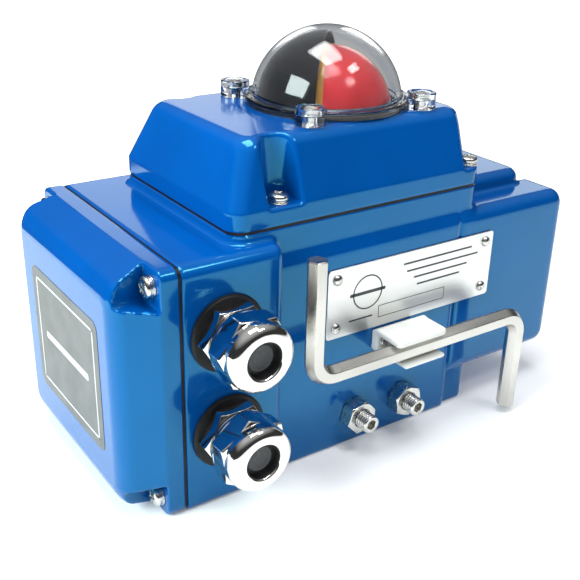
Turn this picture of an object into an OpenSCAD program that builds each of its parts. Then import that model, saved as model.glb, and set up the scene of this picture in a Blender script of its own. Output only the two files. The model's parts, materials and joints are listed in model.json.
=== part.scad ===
// Quarter-turn electric valve actuator: die-cast body, worm drive, dome indicator.
// Origin: on the output axis, in the valve mounting face. +Z up, +X to the drive end,
// -Y to the front with the nameplate.

/* [Body casting] */
// Output axis to the joint of the terminal cover
joint_x = 94.5; // [93:0.5:96]
// Width of the wiring block that carries the glands
block_w = 42; // [41:0.5:44]
// Output axis to the front of the wiring block
block_front = 50; // [49:0.5:51]
// Output axis to the front wall
wall_front = 45; // [44.5:0.5:46]
// Output axis to the back wall
back_y = 57; // [56:0.5:60]
// Height of the wiring block
block_h = 100.5; // [100:0.5:101.5]
// Height of the ledge along the front wall
ledge_h = 93.5; // [92:0.5:95]
// Height of the seat under the top cover
seat_h = 104; // [103.5:0.5:105]
// Thickness of the cast walls
wall = 3.5; // [3:0.25:4]

/* [Gear case] */
// Output axis to the end of the gear case
case_end = 105; // [104.5:0.25:106]
// Output axis to the back of the gear case
case_back = 22; // [21.5:0.5:23]
// Underside of the gear case
case_z0 = 16; // [14:0.5:17]
// Output axis to the end of the motor housing
motor_end = 93.5; // [93:0.5:96]
// Back of the motor housing
motor_back = 50; // [48:0.5:52]

/* [Covers] */
// Depth of the terminal cover
end_depth = 22.8; // [21:0.2:25]
// Height of the top cover above its gasket
lid_h = 30.8; // [30.4:0.2:31.4]
// Height of the straight rim of the top cover
rim_h = 6.8; // [6:0.2:8]
// Thickness of the cover gaskets
gasket_t = 1.2; // [0.8:0.1:1.6]

/* [Indicator] */
// Outer radius of the clear dome
dome_r = 31; // [30.8:0.2:31.6]
// Radius of the dome screw circle
lug_pcr = 38.6; // [38.2:0.2:39.4]

/* [Drive] */
// Module of the worm wheel
wheel_mod = 1.5; // [1.5]
// Teeth of the worm wheel
wheel_teeth = 30; // [30]
// Pitch radius of the worm
worm_pitch_r = 8; // [8]
// Height of the worm axis
worm_z = 42; // [41:0.5:43]
// Module of the spur gears
spur_mod = 1; // [1]
// Teeth of the gear on the worm shaft
worm_gear_teeth = 18; // [18]
// Teeth of the idler gear
idler_teeth = 34; // [34]
// Teeth of the motor pinion
pinion_teeth = 14; // [14]
// Side of the square drive socket
drive_square = 14; // [12:0.5:14]

/* [Valve flange] */
// Bolt circle of the large pattern
pcd_large = 70; // [70]
// Bolt circle of the small pattern
pcd_small = 50; // [50]

/* [Glands and wrench] */
// Across flats of the hex wrench bar
wrench_af = 7; // [6:1:8]
// Height of the upper gland
gland_top_z = 72; // [71:0.5:73]
// Height of the lower gland
gland_low_z = 31; // [30:0.5:32]

/* [Hidden] */
$fn = 64;
block_x1 = -joint_x + block_w;
gland_x = -77;
lid_x0 = -70.5;
lid_x1 = 51.5;
lid_y0 = -43;
lid_y1 = 47;
base_x1 = 53.5;
lid_z0 = seat_h + gasket_t;
lid_z1 = lid_z0 + lid_h;
ledge_z = lid_z0 + rim_h;
lid_screw_x = 47.5;
lid_screws = [[-lid_screw_x, -37], [lid_screw_x, -37], [-lid_screw_x, 41], [lid_screw_x, 41]];
end_x = -joint_x - gasket_t - end_depth;
end_rim_x = -joint_x - gasket_t - 7;
end_screws = [[-43, 7], [-43, 93.5], [50, 7], [50, 93.5]];
plate_screws_xy = [[-36, -32], [36, -32], [-36, 38], [36, 38]];
plate_z = 97;
wheel_r = wheel_mod * wheel_teeth / 2;
worm_y = -(wheel_r + worm_pitch_r);
worm_pitch = PI * wheel_mod;
seal_r = 8.2;
stop_x = 13.7;
stop_z = 14.6;
stop_tip_y = -20.3;
cam_flat = 20;
worm_gear_r = spur_mod * worm_gear_teeth / 2;
idler_r = spur_mod * idler_teeth / 2;
pinion_r = spur_mod * pinion_teeth / 2;
idler_dir = 35;
motor_dir = 25;
idler_y = worm_y + (worm_gear_r + idler_r) * cos(idler_dir);
idler_z = worm_z + (worm_gear_r + idler_r) * sin(idler_dir);
motor_y = idler_y + (idler_r + pinion_r) * cos(motor_dir);
motor_z = idler_z + (idler_r + pinion_r) * sin(motor_dir);
motor_r = 20;
motor_x0 = 27;
motor_x1 = 76;
gear_x0 = 81;
gear_w = 6;
dome_z = lid_z1;
drum_r = 27.2;
lug_h = 6.7;
wrench_y = -62;
wrench_bar_z = 49;
wrench_left_x = -47;
wrench_right_x = 62;
wrench_top_z = 98;
wrench_foot_z = 3;
wrench_bend_r = 8.5;
clip_x0 = -9.5;
clip_x1 = 15.8;
clip_spine_x = -5.3;
clip_spine = 3.6;
clip_half = wrench_af / 2 + 0.9;
clip_front = wrench_y - 5.5;
clip_link_y = -52;
clip_top = wrench_bar_z + clip_half + 2.8;
clip_screw_x = -2;
clip_screw_z = wrench_bar_z - 1.9;
plate_x0 = -29.5;
plate_x1 = 59;
plate_z0 = 53;
plate_z1 = 83;

// ---- shared shapes -------------------------------------------------------------------

// Rectangle from a to b with true round corners.
module round_rect(a, b, r) {
    translate([a.x + r, a.y]) square([b.x - a.x - 2 * r, b.y - a.y]);
    translate([a.x, a.y + r]) square([b.x - a.x, b.y - a.y - 2 * r]);
    for (x = [a.x + r, b.x - r], y = [a.y + r, b.y - r]) translate([x, y]) circle(r);
}

// Upright box from corner a to corner b with round upright edges.
module round_box(a, b, r) {
    translate([0, 0, a.z]) linear_extrude(b.z - a.z) round_rect([a.x, a.y], [b.x, b.y], r);
}

// Plain box from corner a to corner b.
module box(a, b) {
    translate(a) cube(b - a);
}

// Rod along +X, +Y or +Z that starts at p.
module rod_x(p, r, l) { translate(p) rotate([0, 90, 0]) cylinder(r = r, h = l); }
module rod_y(p, r, l) { translate(p) rotate([-90, 0, 0]) cylinder(r = r, h = l); }
module rod_z(p, r, l) { translate(p) cylinder(r = r, h = l); }

// Hexagonal prism with two flats square to Z, axis along +Y, starting at p.
module hex_y(p, af, l) {
    translate(p) rotate([-90, 0, 0]) rotate(30) cylinder(r = af / sqrt(3), h = l, $fn = 6);
}

// Thin slab in the YZ plane with round corners, for the terminal cover.
module end_slab(x, t, a, b, r) {
    translate([x, 0, 0]) rotate([90, 0, 90]) linear_extrude(t) round_rect(a, b, r, $fn = 32);
}

// Pan-head screw pointing down -Z, head seated at the origin.
module pan_screw(head_r, head_h, r, l) {
    difference() {
        rotate_extrude() polygon([
            [0, -l], [r, -l], [r, 0], [head_r, 0], [head_r, head_h * 0.45],
            [head_r * 0.78, head_h * 0.85], [head_r * 0.45, head_h], [0, head_h]
        ]);
        for (a = [0, 90]) rotate(a) translate([0, 0, head_h])
            cube([head_r * 1.15, head_r * 0.28, head_h], center = true);
    }
}

// Tooth outline of a spur gear with backlash, one tooth centred on +X.
function gear_points(m, n, slack) = let (
    rp = m * n / 2,
    half = 90 / n - slack / rp * 180 / PI / 2,
    lean = m / rp * 180 / PI * tan(20)
) [
    for (i = [0 : n - 1], k = [
        [rp - 1.25 * m, -half - 1.25 * lean], [rp, -half], [rp + m, -half + lean],
        [rp + m, half - lean], [rp, half], [rp - 1.25 * m, half + 1.25 * lean]
    ]) k[0] * [cos(i * 360 / n + k[1]), sin(i * 360 / n + k[1])]
];

module spur(m, n, w, slack) {
    linear_extrude(w) polygon(gear_points(m, n, slack));
}

// Turns a shape's +Z to +X and its +X to +Y.
module z_to_x() { rotate([90, 0, 90]) children(); }

// ---- castings ------------------------------------------------------------------------

module body_outside() {
    round_box([-joint_x, -block_front, 0], [block_x1, back_y, block_h], 3);
    round_box([-joint_x + 10, -wall_front, 0], [base_x1, back_y, ledge_h], 3);
    round_box([lid_x0, lid_y0, block_h - 12], [lid_x1, lid_y1, seat_h], 7);
    // Gear case: a slab along the front with round corners in the front view
    translate([0, -case_back, 0]) rotate([90, 0, 0]) linear_extrude(wall_front - case_back)
        round_rect([41, case_z0], [case_end, ledge_h], 7);
    round_box([40, -case_back - 6, case_z0], [motor_end, motor_back, block_h], 7);
    rod_x([motor_end - 2, worm_y, worm_z], seal_r + 2.8, case_end - motor_end + 2);
}

module body_hollows() {
    // Wiring compartment, open at the terminal cover
    box([-joint_x - 1, -block_front + 4, 4], [-60, back_y - wall, block_h - 4]);
    // Gear chamber with its opening under the top cover
    box([-56, -wall_front + wall, 20], [44, back_y - wall, 90]);
    box([-52, -39, 89], [44, 43, plate_z]);
    round_box([-42, -38, plate_z - 1], [42, 42, seat_h + 1], 3);
    // Motor chamber and the gear case
    box([43, -20, 20], [90, motor_back - wall, plate_z]);
    box([50, -wall_front + wall, 20], [case_end - wall, -case_back - wall, ledge_h - wall]);
    box([76, -case_back - wall - 1, 25], [90, -19, 85]);
    // Pocket of the stop cam
    rod_z([0, 0, 9], 29, 12);
    // Passage for the wires
    rod_x([-61, 20, 70], 6, 6);
}

module body_bosses() {
    // Bearing pedestal of the worm
    box([-50, -wall_front + 1, 19], [-42, -19, 54]);
    // Lugs under the gear plate
    for (p = plate_screws_xy) translate([p.x, 0, 0])
        box([-5, p.y < 0 ? lid_y0 + 1 : p.y - 5, p.y < 0 ? 70 : 19],
            [5, p.y < 0 ? p.y + 5 : lid_y1 - 1, plate_z]);
    // Screw bosses of the terminal cover
    intersection() {
        for (s = end_screws) rod_x([-joint_x, s.x, s.y], 7, 34);
        box([-joint_x, -block_front + 1, 1], [-60, back_y - 1, block_h - 1]);
    }
}

module body_holes() {
    for (s = end_screws) rod_x([-joint_x - 1, s.x, s.y], 2.1, 16);
    for (s = lid_screws) rod_z([s.x, s.y, seat_h - 14], 2.1, 15);
    for (p = plate_screws_xy) rod_z([p.x, p.y, plate_z - 12], 1.7, 13);
    // Cable entries
    for (z = [gland_low_z, gland_top_z]) rod_y([gland_x, -block_front - 1, z], 10.1, 6);
    // Travel stop threads
    for (x = [-stop_x, stop_x]) rod_y([x, -wall_front - 1, stop_z], 4.05, wall_front - 15);
    // Worm bearings and the override port
    rod_x([-51, worm_y, worm_z], 10.1, 10);
    rod_x([43, worm_y, worm_z], 10.1, 8);
    rod_x([49, worm_y, worm_z], 7.2, case_end - 50);
    rod_x([case_end - wall, worm_y, worm_z], seal_r + 0.1, wall + 1);
    // Idler pin
    rod_x([88, idler_y, idler_z], 3.05, 4);
    // Valve flange: spigot recess, bearing seat and both bolt circles
    rod_z([0, 0, -1], 17.5, 4);
    rod_z([0, 0, 2], 16.1, 8);
    for (a = [45 : 90 : 315]) rotate(a) {
        rod_z([pcd_large / 2, 0, -1], 4, 14);
        rod_z([pcd_small / 2, 0, -1], 3, 8.5);
    }
    // Nameplate rivets, clip screw and earth screw
    for (p = rivet_places()) rod_y([p.x, -wall_front - 1, p.y], 1.1, 4);
    rod_y([clip_screw_x, -wall_front - 1, clip_screw_z], 1.3, 4.2);
    rod_x([-62, 45, 20], 2.1, 5);
}

module main_body() {
    color("royalblue") difference() {
        union() {
            difference() {
                body_outside();
                body_hollows();
            }
            body_bosses();
        }
        body_holes();
        // Set-back foot beside the gear case
        box([41, -wall_front - 1, -1], [base_x1 + 1, -wall_front + 2, case_z0]);
    }
}

module end_shape(grow) {
    hull() {
        end_slab(end_rim_x - 0.1, 7.1,
            [-block_front - grow, -grow], [back_y + grow, block_h + grow], 4);
        end_slab(end_x - grow, 0.1, [-43 - grow, 7 - grow], [47 + grow, 94.5 + grow], 8);
    }
}

// Stepped corner of the end cover that bares one screw; it widens towards the rim
module screw_pocket(s) {
    hull() for (e = [[end_x - 1, 1, 5.4], [end_rim_x - 0.1, 5.5, 7.6]])
        translate([e[0], s.x, s.y])
            mirror([0, s.x > 0 ? 1 : 0, 0]) mirror([0, 0, s.y > block_h / 2 ? 1 : 0])
                box([0, -15, -15], [0.1, e[1], e[2]]);
}

module terminal_cover() {
    color("royalblue") difference() {
        end_shape(0);
        difference() {
            translate([0.2, 0, 0]) end_shape(-wall);
            for (s = end_screws) rod_x([end_x - 1, s.x, s.y], 12.5, end_depth + 4);
        }
        box([end_rim_x + 7 - wall - 0.2, -block_front + 10, 12],
            [end_rim_x + 8, back_y - 12, block_h - 12]);
        for (s = end_screws) {
            screw_pocket(s);
            rod_x([end_rim_x - 1, s.x, s.y], 2.6, 10);
        }
    }
}

module terminal_gasket() {
    color("dimgray") difference() {
        end_slab(-joint_x - gasket_t, gasket_t,
            [-block_front + 0.6, 0.6], [back_y - 0.6, block_h - 0.6], 3);
        box([-joint_x - 3, -block_front + 4, 4], [-joint_x + 1, back_y - wall, block_h - 4]);
    }
    color("dimgray") for (s = end_screws) difference() {
        rod_x([-joint_x - gasket_t, s.x, s.y], 6.3, gasket_t);
        rod_x([-joint_x - 3, s.x, s.y], 2.6, 5);
    }
}

module terminal_cover_screws() {
    color("silver") for (s = end_screws)
        translate([end_rim_x, s.x, s.y]) rotate([0, -90, 0]) pan_screw(4.2, 3.4, 2, 19);
}

module lid_shape(grow) {
    hull() {
        translate([0, 0, ledge_z]) linear_extrude(0.1)
            round_rect([lid_x0 + 0.5 - grow, lid_y0 + 0.5 - grow],
                [lid_x1 - 0.5 + grow, lid_y1 - 0.5 + grow], 7, $fn = 32);
        translate([0, 0, lid_z1 - 0.1 + grow]) linear_extrude(0.1)
            round_rect([-61 - grow, -34 - grow], [44 + grow, 38 + grow], 6, $fn = 32);
    }
}

module top_cover() {
    color("royalblue") difference() {
        union() {
            round_box([lid_x0, lid_y0, lid_z0], [lid_x1, lid_y1, ledge_z], 7);
            lid_shape(0);
        }
        difference() {
            union() {
                lid_shape(-wall);
                round_box([lid_x0 + 4, lid_y0 + 4, lid_z0 - 1], [lid_x1 - 4, lid_y1 - 4, ledge_z + 0.5], 4);
            }
            for (s = lid_screws) rod_z([s.x, s.y, lid_z0], 10.5, lid_h);
        }
        for (s = lid_screws) {
            y0 = s.y < 0 ? lid_y0 - 1 : s.y - 4.5;
            y1 = s.y < 0 ? s.y + 4.5 : lid_y1 + 1;
            x1 = s.x < 0 ? s.x + 7 : lid_x1 + 1;
            box([s.x - 7, y0, ledge_z], [x1, y1, lid_z1 + 1]);
            rod_z([s.x, s.y, lid_z0 - 1], 2.6, rim_h + 2);
        }
        // Passage of the indicator shaft and the threads of the dome screws
        rod_z([0, 0, lid_z1 - wall - 1], 12, wall + 2);
        for (a = [45 : 90 : 315]) rotate(a) rod_z([lug_pcr, 0, lid_z1 - wall - 0.5], 2.1, wall + 1);
    }
}

module top_gasket() {
    color("dimgray") difference() {
        round_box([lid_x0 + 0.6, lid_y0 + 0.6, seat_h], [lid_x1 - 0.6, lid_y1 - 0.6, lid_z0], 6.4);
        round_box([-42, -31, seat_h - 1], [42, 35, lid_z0 + 1], 3);
        for (s = lid_screws) rod_z([s.x, s.y, seat_h - 1], 2.6, 4);
    }
}

module top_cover_screws() {
    color("silver") for (s = lid_screws) translate([s.x, s.y, ledge_z]) pan_screw(4.2, 3.4, 2, 18);
}

// ---- indicator -----------------------------------------------------------------------

// Quarter or half of a spherical shell standing on z0.
module shell_sector(r_out, r_in, zc, z0, a0, sweep) {
    translate([0, 0, zc]) rotate(a0) rotate_extrude(angle = sweep) intersection() {
        difference() {
            circle(r_out);
            circle(r_in);
        }
        translate([0, z0 - zc]) square(r_out + 1);
    }
}

// Space under the dome in its half section.
module dome_inside() {
    intersection() {
        translate([0, dome_z]) circle(dome_r - 2);
        translate([0, dome_z]) square(dome_r);
    }
    translate([0, lid_z1 - 1]) square([dome_r - 2, dome_z - lid_z1 + 1]);
}

module dome() {
    color("lightcyan", 0.35) difference() {
        union() {
            rotate_extrude() difference() {
                union() {
                    intersection() {
                        translate([0, dome_z]) circle(dome_r);
                        translate([0, lid_z1 + 1]) square(dome_r + 4);
                    }
                    translate([0, lid_z1]) square([34, 3.5]);
                }
                dome_inside();
            }
            for (a = [45 : 90 : 315]) rotate(a) {
                rod_z([lug_pcr, 0, lid_z1], 6, lug_h);
                box([33, -5, lid_z1], [lug_pcr, 5, lid_z1 + 3.2]);
            }
        }
        // Seal groove, screw holes and head pockets
        rotate_extrude() translate([30.4, lid_z1 - 1]) square([2.4, 2.6]);
        for (a = [45 : 90 : 315]) rotate(a) {
            rod_z([lug_pcr, 0, lid_z1 - 1], 2.2, 10);
            rod_z([lug_pcr, 0, lid_z1 + 3.6], 3.9, 5);
        }
    }
}

module dome_seal() {
    color("black") difference() {
        rod_z([0, 0, lid_z1], 32.7, 1.5);
        rod_z([0, 0, lid_z1 - 1], 30.5, 4);
    }
}

module dome_screws() {
    color("silver") for (a = [45 : 90 : 315]) rotate(a)
        translate([lug_pcr, 0, lid_z1 + 3.6]) pan_screw(3.6, 2.6, 2, 6.8);
}

module indicator_mask() {
    color("black") shell_sector(dome_r - 2.3, dome_r - 3.2, dome_z, lid_z1 + 0.2, 45, 180);
}

// One quarter of the drum that turns with the output
module drum_sector(a0) {
    shell_sector(drum_r, drum_r - 1.8, lid_z1 - 4, lid_z1 + 3, a0 + 0.3, 89.4);
}

module indicator_red() {
    color("red") for (a = [50, 230]) drum_sector(a);
}

module indicator_yellow() {
    color("gold") for (a = [140, 320]) drum_sector(a);
}

module indicator_hub() {
    color("dimgray") difference() {
        union() {
            rod_z([0, 0, lid_z1 + 1], drum_r - 0.9, 2);
            rod_z([0, 0, lid_z1 + 1], 10, 11);
        }
        rod_z([0, 0, lid_z1], 6.02, 10.5);
    }
}

// ---- nameplate, glands, wrench -------------------------------------------------------

function rivet_places() = [
    for (x = [plate_x0 + 4.5, plate_x1 - 4.5], z = [plate_z0 + 4.5, plate_z1 - 4.5]) [x, z]
];

module nameplate() {
    color("gainsboro") difference() {
        translate([0, -wall_front, 0]) rotate([90, 0, 0]) linear_extrude(0.8)
            round_rect([plate_x0, plate_z0], [plate_x1, plate_z1], 1);
        for (p = rivet_places()) rod_y([p.x, -wall_front - 2, p.y], 1.2, 4);
    }
}

module nameplate_rivets() {
    color("silver") for (p = rivet_places()) translate([p.x, -wall_front - 0.8, p.y]) rotate([90, 0, 0])
        rotate_extrude() polygon([[0, -3.5], [1, -3.5], [1, 0], [2.3, 0], [2, 0.8], [1.2, 1.3], [0, 1.5]]);
}

module gland_ring(r_out, r_in, y0, l) {
    for (z = [gland_low_z, gland_top_z]) difference() {
        rod_y([gland_x, y0, z], r_out, l);
        rod_y([gland_x, y0 - 1, z], r_in, l + 2);
    }
}

module gland_washers() { color("black") gland_ring(15.2, 10.1, -block_front - 2, 2); }

module gland_bodies() {
    color("silver") for (z = [gland_low_z, gland_top_z]) difference() {
        union() {
            rod_y([gland_x, -block_front - 19, z], 10, 29);
            hex_y([gland_x, -block_front - 8, z], 24, 6);
        }
        rod_y([gland_x, -block_front - 20, z], 7.6, 32);
    }
}

module gland_locknuts() {
    color("silver") for (z = [gland_low_z, gland_top_z]) difference() {
        hex_y([gland_x, -block_front + 4, z], 24, 4);
        rod_y([gland_x, -block_front + 3, z], 10.05, 6);
    }
}

// Rubber inserts with a wider mouth for the cable
module gland_inserts() {
    color("black") difference() {
        gland_ring(7.5, 5.1, -block_front - 25, 12);
        for (z = [gland_low_z, gland_top_z]) rod_y([gland_x, -block_front - 26, z], 6.4, 3.5);
    }
}

module gland_blanks() {
    color("dimgray") for (z = [gland_low_z, gland_top_z])
        rod_y([gland_x, -block_front - 22.5, z], 5.1, 2);
}

module gland_cap(z) {
    y0 = -block_front - 10.2;
    difference() {
        union() {
            intersection() {
                translate([gland_x, y0, z]) rotate([90, 0, 0]) rotate_extrude() polygon([
                    [0, 0], [13.6, 0], [13.9, 1], [13.9, 7], [13.4, 10], [12, 13], [10.2, 14.8], [0, 14.8]
                ]);
                hex_y([gland_x, y0 - 16, z], 26, 17);
            }
            translate([gland_x, y0, z]) rotate([90, 0, 0]) rotate_extrude() polygon([
                [0, 4], [12.8, 4], [13, 8], [12.6, 10.6], [11.4, 13.2], [9.8, 15], [9, 15.4], [0, 15.4]
            ]);
        }
        rod_y([gland_x, y0 - 20, z], 7.8, 30);
        rod_y([gland_x, y0 - 9.3, z], 10.06, 12);
    }
}

module gland_cap_upper() { color("silver") gland_cap(gland_top_z); }
module gland_cap_lower() { color("silver") gland_cap(gland_low_z); }

// Outlines of the clip in Y and Z: the arm over the bar, and the spine with its lower jaw
module clip_arm() {
    round_rect([clip_front, wrench_bar_z + clip_half], [clip_link_y, clip_top], 1.2);
}

module clip_spine_and_jaw() {
    low = wrench_bar_z - clip_half;
    hull() {
        translate([clip_link_y - 1.4, clip_top - 1.5]) circle(r = 1.5, $fn = 24);
        translate([-wall_front - clip_spine + 1.4, plate_z0 - 2.4]) circle(r = 1.5, $fn = 24);
    }
    round_rect([-wall_front - clip_spine, low - 1.4], [-wall_front, plate_z0 - 1.4], 0.6);
    round_rect([clip_front + 0.3, low - 1.4], [-wall_front, low], 0.6);
}

module wrench_clip() {
    color("white") difference() {
        union() {
            translate([clip_x0, 0, 0]) z_to_x() linear_extrude(clip_x1 - clip_x0) clip_arm();
            translate([clip_spine_x, 0, 0]) z_to_x() linear_extrude(clip_x1 - clip_spine_x)
                clip_spine_and_jaw();
        }
        rod_y([clip_screw_x, -wall_front - clip_spine - 1, clip_screw_z], 1.5, clip_spine + 2);
    }
}

module clip_screw() {
    color("silver") translate([clip_screw_x, -wall_front - clip_spine, clip_screw_z])
        rotate([90, 0, 0]) pan_screw(2.2, 1.8, 1.2, 6.6);
}

// Quarter bend of the wrench bar about the point c, from angle a0.
module wrench_bend(c, a0) {
    translate([c.x, wrench_y, c.y]) rotate([90, 0, 0]) rotate(a0) rotate_extrude(angle = 90)
        translate([wrench_bend_r, 0]) circle(r = wrench_af / sqrt(3), $fn = 6);
}

module hand_wrench() {
    r = wrench_af / sqrt(3);
    b = wrench_bend_r;
    color("lightsteelblue") {
        translate([wrench_left_x, wrench_y, wrench_bar_z + b]) rotate(0)
            cylinder(r = r, h = wrench_top_z - wrench_bar_z - b, $fn = 6);
        wrench_bend([wrench_left_x + b, wrench_bar_z + b], 180);
        translate([wrench_left_x + b, wrench_y, wrench_bar_z]) rotate([0, 90, 0])
            cylinder(r = r, h = wrench_right_x - wrench_left_x - 2 * b, $fn = 6);
        wrench_bend([wrench_right_x - b, wrench_bar_z - b], 0);
        translate([wrench_right_x, wrench_y, wrench_foot_z])
            cylinder(r = r, h = wrench_bar_z - b - wrench_foot_z, $fn = 6);
    }
}

// ---- travel stops --------------------------------------------------------------------

module stop_nuts() {
    color("silver") for (x = [-stop_x, stop_x]) difference() {
        intersection() {
            hex_y([x, -wall_front - 6.5, stop_z], 13, 6.5);
            translate([x, -wall_front, stop_z]) rotate([90, 0, 0]) rotate_extrude()
                polygon([[0, 0], [7.5, 0], [7.5, 5.7], [6.5, 6.5], [0, 6.5]]);
        }
        rod_y([x, -wall_front - 7, stop_z], 4.05, 8);
    }
}

module stop_screw(x) {
    difference() {
        rod_y([x, -wall_front - 12.5, stop_z], 4, wall_front + 12.5 + stop_tip_y);
        hex_y([x, -wall_front - 13.5, stop_z], 4, 6);
    }
}

module stop_screw_left() { color("silver") stop_screw(-stop_x); }
module stop_screw_right() { color("silver") stop_screw(stop_x); }

module stop_cam() {
    color("slategray") difference() {
        union() {
            rod_z([0, 0, 10], 19, 9);
            intersection() {
                rod_z([0, 0, 10], 27, 9);
                box([-cam_flat, -cam_flat, 9], [30, 30, 20]);
                rotate(45) box([-8, -40, 9], [40, 40, 20]);
            }
        }
        rod_z([0, 0, 9], 13.02, 11);
    }
}

// ---- output drive --------------------------------------------------------------------

module lower_bush() {
    color("peru") difference() {
        rod_z([0, 0, 3], 16, 6);
        rod_z([0, 0, 2], 13.05, 8);
    }
}

module upper_bush() {
    color("peru") difference() {
        union() {
            rod_z([0, 0, plate_z - 2], 12, 5);
            rod_z([0, 0, plate_z + 3], 15, 2);
        }
        rod_z([0, 0, plate_z - 3], 9.05, 10);
    }
}

module gear_plate() {
    color("silver") difference() {
        round_box([-41, -37, plate_z], [41, 41, plate_z + 3], 2.5);
        rod_z([0, 0, plate_z - 1], 12.05, 5);
        for (p = plate_screws_xy) rod_z([p.x, p.y, plate_z - 1], 2, 5);
        for (y = [-9, 9]) rod_z([-33, y, plate_z - 1], 1.3, 5);
    }
}

module plate_screws() {
    color("silver") for (p = plate_screws_xy)
        translate([p.x, p.y, plate_z + 3]) pan_screw(3.2, 2.4, 1.6, 12);
}

module output_shaft() {
    color("lightslategray") difference() {
        union() {
            rod_z([0, 0, 3], 13, 33);
            rod_z([0, 0, 36], 11, 26);
            rod_z([0, 0, 62], 9, 43);
            rod_z([0, 0, 105], 6, lid_z1 + 10 - 105);
        }
        // Eight-point socket for the valve stem, and the key seat
        for (a = [0, 45]) rotate(a) translate([0, 0, 9])
            cube([drive_square, drive_square, 22], center = true);
        box([8, -2, 37], [12, 2, 47]);
    }
}

module wheel_key() { color("silver") box([8.05, -1.95, 37.1], [12.9, 1.95, 46.9]); }

module worm_wheel() {
    color("goldenrod") difference() {
        union() {
            translate([0, 0, worm_z - 5]) rotate(-90 + 180 / wheel_teeth)
                spur(wheel_mod, wheel_teeth, 10, 0.7);
            rod_z([0, 0, worm_z - 6], 17, 14);
        }
        rod_z([0, 0, 30], 11.02, 30);
        box([8, -2, 37], [13, 2, 47]);
    }
}

// ---- worm and gear train -------------------------------------------------------------

// Radius of the worm thread at an angle round its section: root, flank, crest, flank.
function thread_r(a) = let (t = abs(a - 180) / 180)
    6.2 + 3.2 * max(0, min(1, (0.62 - t) / 0.4));

module worm_shaft() {
    turns = 4;
    color("lightslategray") difference() {
        union() {
            rod_x([-48, worm_y, worm_z], 6, 143);
            rod_x([case_end - 12, worm_y, worm_z], 6.5, 11.5);
            translate([-turns * worm_pitch / 2, worm_y, worm_z]) z_to_x()
                rotate(-180)
                    linear_extrude(turns * worm_pitch, twist = -360 * turns, slices = 14 * turns, $fn = 14)
                        polygon([for (a = [0 : 360 / 14 : 359]) thread_r(a) * [cos(a), sin(a)]]);
        }
        // Hex socket for the hand wrench
        translate([case_end - 14.5, worm_y, worm_z]) rotate([0, 90, 0]) rotate(30)
            cylinder(r = (wrench_af + 0.2) / sqrt(3), h = 20, $fn = 6);
    }
}

module worm_gear() {
    color("silver") translate([gear_x0, worm_y, worm_z]) z_to_x() difference() {
        rotate(idler_dir) spur(spur_mod, worm_gear_teeth, gear_w, 0.35);
        translate([0, 0, -1]) cylinder(r = 6.02, h = gear_w + 2);
    }
}

module worm_bushes() {
    color("peru") difference() {
        union() {
            rod_x([-50, worm_y, worm_z], 10, 8);
            rod_x([44, worm_y, worm_z], 10, 6);
        }
        rod_x([-60, worm_y, worm_z], 6.05, 120);
    }
}

module override_seal() {
    color("black") difference() {
        rod_x([case_end - wall, worm_y, worm_z], seal_r, wall);
        rod_x([case_end - wall - 1, worm_y, worm_z], 6.55, wall + 2);
    }
}

module idler_gear() {
    color("silver") translate([gear_x0, idler_y, idler_z]) z_to_x() difference() {
        union() {
            rotate(idler_dir + 180 + 180 / idler_teeth) spur(spur_mod, idler_teeth, gear_w, 0.35);
            translate([0, 0, -1]) cylinder(r = 5.5, h = gear_w + 2);
        }
        translate([0, 0, -2]) cylinder(r = 3.05, h = gear_w + 4);
    }
}

module idler_pin() { color("silver") rod_x([76.1, idler_y, idler_z], 3, 15.5); }

module motor_can() {
    color("gray") translate([motor_x0, motor_y, motor_z]) z_to_x() difference() {
        cylinder(r = motor_r, h = motor_x1 - motor_x0);
        translate([0, 0, 2]) cylinder(r = motor_r - 1.5, h = motor_x1 - motor_x0);
        translate([0, 0, -1]) cylinder(r = 3.05, h = 4);
    }
}

module motor_stator() {
    color("orange") translate([motor_x0 + 10, motor_y, motor_z]) z_to_x() difference() {
        cylinder(r = motor_r - 1.6, h = 28);
        translate([0, 0, -1]) cylinder(r = 11, h = 30);
    }
}

module motor_end_plate() {
    color("gray") difference() {
        box([motor_x1, -24, 40], [motor_x1 + 3, motor_back - wall - 0.1, 84.9]);
        rod_x([motor_x1 - 1, motor_y, motor_z], 3.05, 6);
        rod_x([motor_x1 - 1, idler_y, idler_z], 3.05, 6);
    }
}

module motor_rotor() {
    color("lightslategray") {
        rod_x([motor_x0 + 11, motor_y, motor_z], 10.4, 26);
        rod_x([motor_x0 + 0.5, motor_y, motor_z], 3, gear_x0 + gear_w - motor_x0);
    }
}

// The pinion shows a gap to the idler tooth nearest to the line of centres.
module motor_pinion() {
    idler_tooth0 = idler_dir + 180 + 180 / idler_teeth;
    off = (motor_dir - idler_tooth0) / (360 / idler_teeth);
    slip = (off - round(off)) * 360 / idler_teeth * idler_teeth / pinion_teeth;
    color("goldenrod") translate([gear_x0, motor_y, motor_z]) z_to_x() difference() {
        rotate(motor_dir + 180 + 180 / pinion_teeth + slip) spur(spur_mod, pinion_teeth, gear_w, 0.35);
        translate([0, 0, -1]) cylinder(r = 3.02, h = gear_w + 2);
    }
}

// ---- switches and wiring -------------------------------------------------------------

module limit_cams() {
    color("ivory") for (z = [107.5, 114.5]) difference() {
        union() {
            rod_z([0, 0, z], 13, 5);
            intersection() {
                rod_z([0, 0, z], 16.4, 5);
                rotate(z < 110 ? 185 : 95) box([0, -8, z - 1], [20, 8, z + 6]);
            }
        }
        rod_z([0, 0, z - 1], 6.02, 7);
    }
}

module switch_bracket() {
    color("silver") difference() {
        union() {
            box([-41, -13, plate_z + 3], [-24, 13, 106.5]);
            box([-42, -13, plate_z + 3], [-40.6, 13, 121]);
        }
        for (y = [-9, 9]) rod_z([-33, y, plate_z], 1.3, 12);
    }
}

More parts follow.
